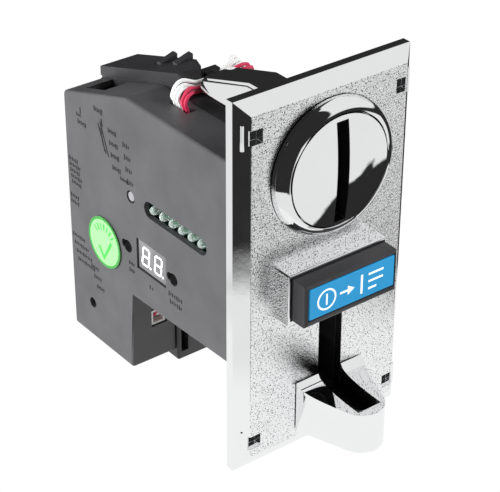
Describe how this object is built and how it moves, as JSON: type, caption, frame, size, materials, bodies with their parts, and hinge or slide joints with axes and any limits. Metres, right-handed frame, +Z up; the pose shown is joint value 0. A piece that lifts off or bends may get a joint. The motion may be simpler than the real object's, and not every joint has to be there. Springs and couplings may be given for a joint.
{
  "type": "coin acceptor",
  "caption": "Panel-mounted coin acceptor: chromed front with coin slot, reject button and return cup, coin lane, sensors and exit behind.",
  "frame": {"origin": "middle of the front plate's mounting plane, the flat rear of its rim, which lies against the machine's panel", "axes": "+Z up, -Y out of the front plate towards the person paying, +Y back into the machine, +X to that person's right"},
  "size_m": [0.065, 0.1233, 0.1277],
  "materials": {
    "accept_flap": "satin black plastic",
    "button_frame": "satin to gloss black",
    "button_label": "blue printed film under a clear face",
    "button_lamp_board": "green solder mask",
    "button_rod": "plain black",
    "button_spring": "bright zinc-plated steel",
    "circuit_board": "green solder mask",
    "coin_entry_collar": "bright chrome plating on moulded plastic",
    "coin_rail": "bright zinc-plated steel",
    "coin_return_cup": "bright chrome plating on moulded plastic",
    "coin_slot_face": "bright chrome plating on moulded plastic",
    "display_module": "grey face with two digits",
    "entry_hood": "bright chrome plating on moulded plastic",
    "exit_chute": "satin black plastic",
    "exit_sensor": "satin black plastic",
    "frame_screw_1": "bright zinc-plated steel",
    "frame_screw_2": "bright zinc-plated steel",
    "frame_screw_3": "bright zinc-plated steel",
    "front_panel": "bright chrome plating, fine hammered texture on the raised face",
    "gate_door": "satin black plastic",
    "gate_hinge_pin": "bright zinc-plated steel",
    "gate_spring": "bright zinc-plated steel",
    "harness_red_1": "red PVC insulation",
    "harness_red_2": "red PVC insulation",
    "harness_socket": "white nylon",
    "harness_white_1": "white PVC insulation",
    "harness_white_2": "white PVC insulation",
    "harness_white_3": "white PVC insulation",
    "inspection_sticker": "bright green gloss paper",
    "lane_cover": "satin black plastic",
    "lane_end": "satin black plastic",
    "left_cover": "satin black ABS with a fine grain",
    "lower_connector": "white nylon",
    "main_frame": "satin black ABS",
    "rear_connector": "white nylon",
    "reject_lever": "bright zinc-plated steel",
    "reject_lever_pin": "bright zinc-plated steel",
    "return_chute": "satin black plastic",
    "sensor_coil_front": "enamelled copper winding",
    "sensor_coil_rear": "enamelled copper winding",
    "set_button_1": "satin black plastic",
    "set_button_2": "satin black plastic",
    "set_button_3": "satin black plastic",
    "slide_switch_block": "satin black plastic",
    "solenoid_body": "bright zinc-plated steel",
    "solenoid_plunger": "bright zinc-plated steel",
    "status_led_1": "water-clear epoxy",
    "status_led_2": "water-clear epoxy",
    "status_led_3": "water-clear epoxy",
    "status_led_4": "water-clear epoxy",
    "status_led_5": "water-clear epoxy",
    "status_led_6": "water-clear epoxy",
    "switch_knob_1": "white nylon",
    "switch_knob_2": "white nylon",
    "tact_switch_1": "satin black plastic",
    "tact_switch_2": "satin black plastic",
    "tact_switch_3": "satin black plastic"
  },
  "bodies": {
    "chassis": {"button_lamp_board": "button_lamp_board", "button_spring": "button_spring", "circuit_board": "circuit_board", "coin_entry_collar": "coin_entry_collar", "coin_return_cup": "coin_return_cup", "coin_slot_face": "coin_slot_face", "display_module": "display_module", "entry_hood": "entry_hood", "exit_chute": "exit_chute", "exit_sensor": "exit_sensor", "frame_screw_1": "frame_screw_1", "frame_screw_2": "frame_screw_2", "frame_screw_3": "frame_screw_3", "front_panel": "front_panel", "gate_hinge_pin": "gate_hinge_pin", "gate_spring": "gate_spring", "harness_red_1": "harness_red_1", "harness_red_2": "harness_red_2", "harness_socket": "harness_socket", "harness_white_1": "harness_white_1", "harness_white_2": "harness_white_2", "harness_white_3": "harness_white_3", "inspection_sticker": "inspection_sticker", "lane_cover": "lane_cover", "lane_end": "lane_end", "left_cover": "left_cover", "lower_connector": "lower_connector", "main_frame": "main_frame", "rear_connector": "rear_connector", "reject_lever_pin": "reject_lever_pin", "return_chute": "return_chute", "sensor_coil_front": "sensor_coil_front", "sensor_coil_rear": "sensor_coil_rear", "slide_switch_block": "slide_switch_block", "solenoid_body": "solenoid_body", "status_led_1": "status_led_1", "status_led_2": "status_led_2", "status_led_3": "status_led_3", "status_led_4": "status_led_4", "status_led_5": "status_led_5", "status_led_6": "status_led_6", "tact_switch_1": "tact_switch_1", "tact_switch_2": "tact_switch_2", "tact_switch_3": "tact_switch_3"},
    "reject_button": {"button_frame": "button_frame", "button_label": "button_label", "button_rod": "button_rod"},
    "reject_lever": {"reject_lever": "reject_lever"},
    "gate": {"gate_door": "gate_door", "coin_rail": "coin_rail"},
    "accept_flap": {"accept_flap": "accept_flap"},
    "solenoid_plunger": {"solenoid_plunger": "solenoid_plunger"},
    "set_button_1": {"set_button_1": "set_button_1"},
    "set_button_2": {"set_button_2": "set_button_2"},
    "set_button_3": {"set_button_3": "set_button_3"},
    "switch_knob_1": {"switch_knob_1": "switch_knob_1"},
    "switch_knob_2": {"switch_knob_2": "switch_knob_2"}
  },
  "joints": [
    {"name": "reject_button_slide", "type": "slide", "parent": "chassis", "child": "reject_button", "axis": [0, 1, 0], "range_m": [0, 0.005], "stiffness_N_per_m": 200, "springref_m": -0.004, "deforming": ["button_spring"]},
    {"name": "reject_lever_hinge", "type": "hinge", "parent": "chassis", "child": "reject_lever", "pos_m": [-0.0117, 0.0075, 0.014], "axis": [1, 0, 0], "range_deg": [0, 21]},
    {"name": "gate_hinge", "type": "hinge", "parent": "chassis", "child": "gate", "pos_m": [0.0084, 0.004, 0.035], "axis": [0, -1, 0], "range_deg": [0, 12], "deforming": ["gate_spring"]},
    {"name": "solenoid_slide", "type": "slide", "parent": "chassis", "child": "solenoid_plunger", "axis": [0, 1, 0], "range_m": [0, 0.0035], "stiffness_N_per_m": 60, "springref_m": -0.003},
    {"name": "accept_flap_hinge", "type": "hinge", "parent": "chassis", "child": "accept_flap", "pos_m": [0, 0.066, -0.0255], "axis": [1, 0, 0], "range_deg": [0, 23]},
    {"name": "set_button_1_slide", "type": "slide", "parent": "chassis", "child": "set_button_1", "axis": [1, 0, 0], "range_m": [0, 0.0003], "stiffness_N_per_m": 800, "springref_m": -0.0003},
    {"name": "set_button_2_slide", "type": "slide", "parent": "chassis", "child": "set_button_2", "axis": [1, 0, 0], "range_m": [0, 0.0003], "stiffness_N_per_m": 800, "springref_m": -0.0003},
    {"name": "set_button_3_slide", "type": "slide", "parent": "chassis", "child": "set_button_3", "axis": [1, 0, 0], "range_m": [0, 0.0003], "stiffness_N_per_m": 800, "springref_m": -0.0003},
    {"name": "switch_1_slide", "type": "slide", "parent": "chassis", "child": "switch_knob_1", "axis": [0, 0, 1], "range_m": [-0.0011, 0.0011]},
    {"name": "switch_2_slide", "type": "slide", "parent": "chassis", "child": "switch_knob_2", "axis": [0, 0, 1], "range_m": [-0.0011, 0.0011]}
  ],
  "couplings": [
    {"joint": "reject_lever_hinge", "follows": "reject_button_slide", "rad_per_m": 73},
    {"joint": "gate_hinge", "follows": "reject_button_slide", "rad_per_m": 41.8},
    {"joint": "accept_flap_hinge", "follows": "solenoid_slide", "rad_per_m": 114.3}
  ]
}
